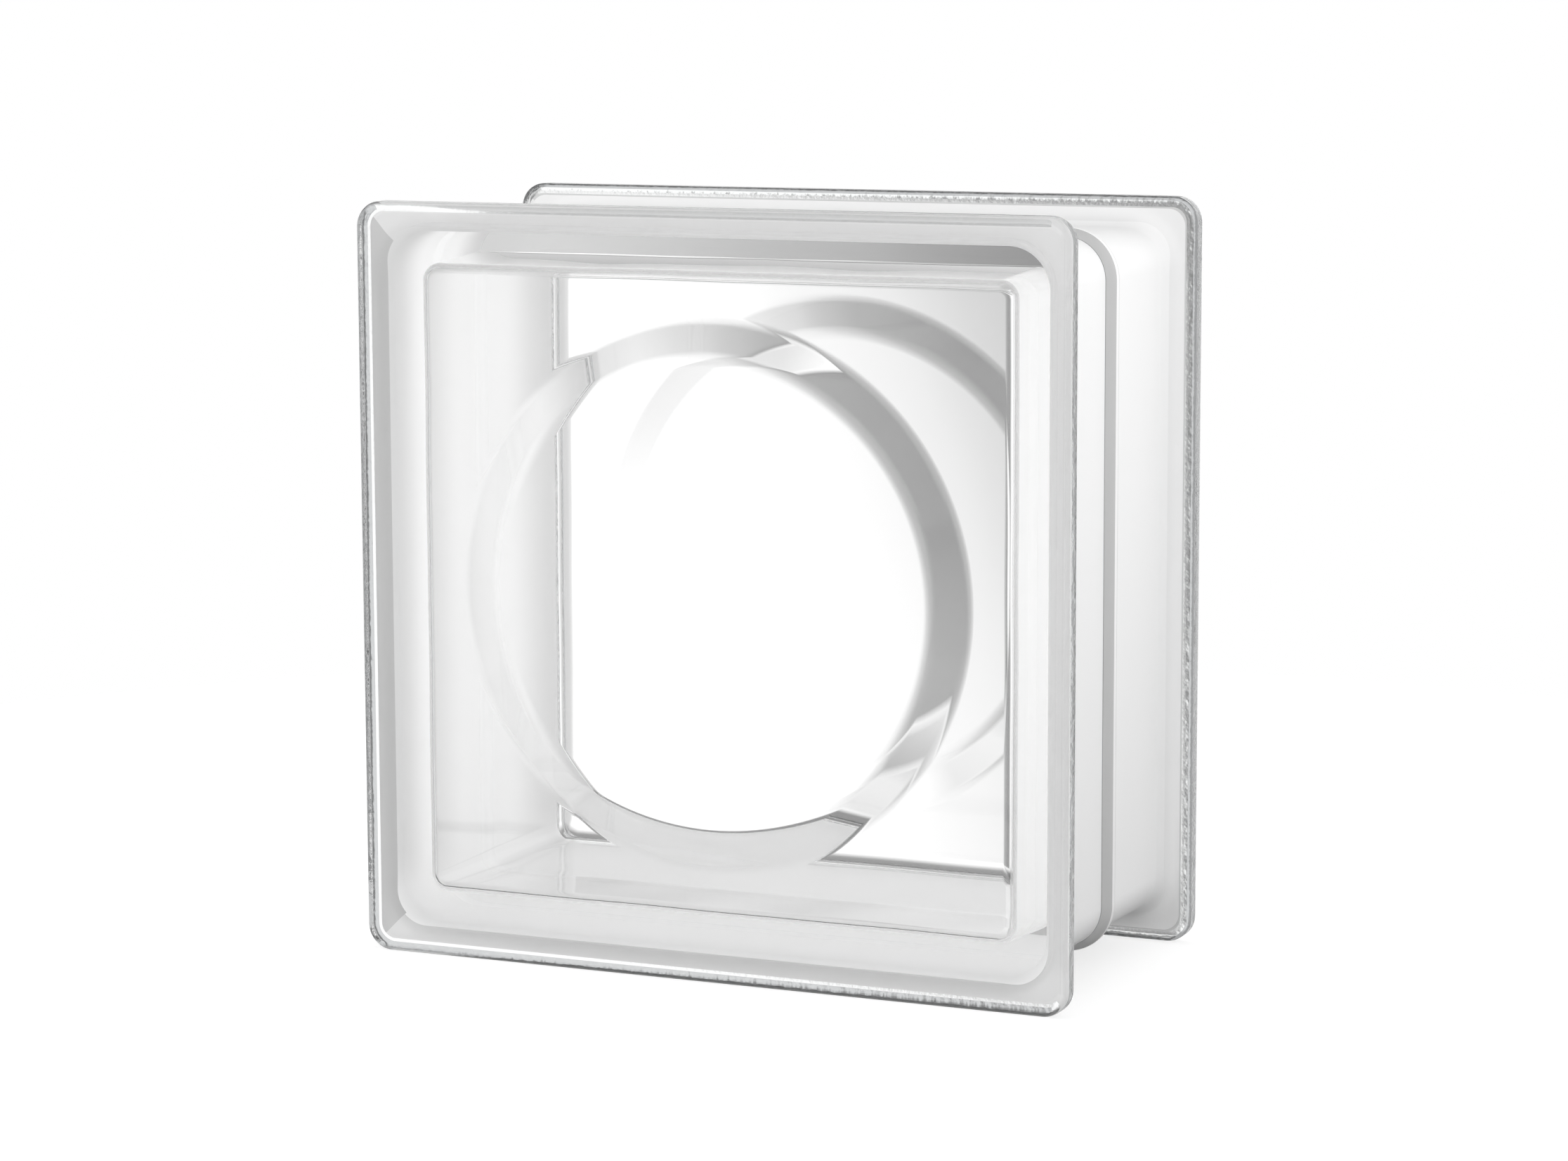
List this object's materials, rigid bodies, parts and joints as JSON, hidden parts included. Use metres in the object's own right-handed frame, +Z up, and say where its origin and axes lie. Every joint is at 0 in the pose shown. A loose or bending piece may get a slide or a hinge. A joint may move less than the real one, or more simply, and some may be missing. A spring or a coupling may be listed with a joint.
{
  "type": "glass block",
  "caption": "Hollow square building block of clear pressed glass, with flanged faces, a recessed mortar channel around the edge and a round lens pressed into each face.",
  "frame": {"origin": "on the floor, midway along the lower edge and at half the depth", "axes": "+X to the right along the face, +Y through the depth away from the front face, +Z up"},
  "size_m": [0.19, 0.095, 0.19],
  "materials": {
    "pressed_glass": "clear pressed glass, mat in the mortar channel"
  },
  "bodies": {
    "root": {"glass_block": "pressed_glass"}
  },
  "joints": []
}
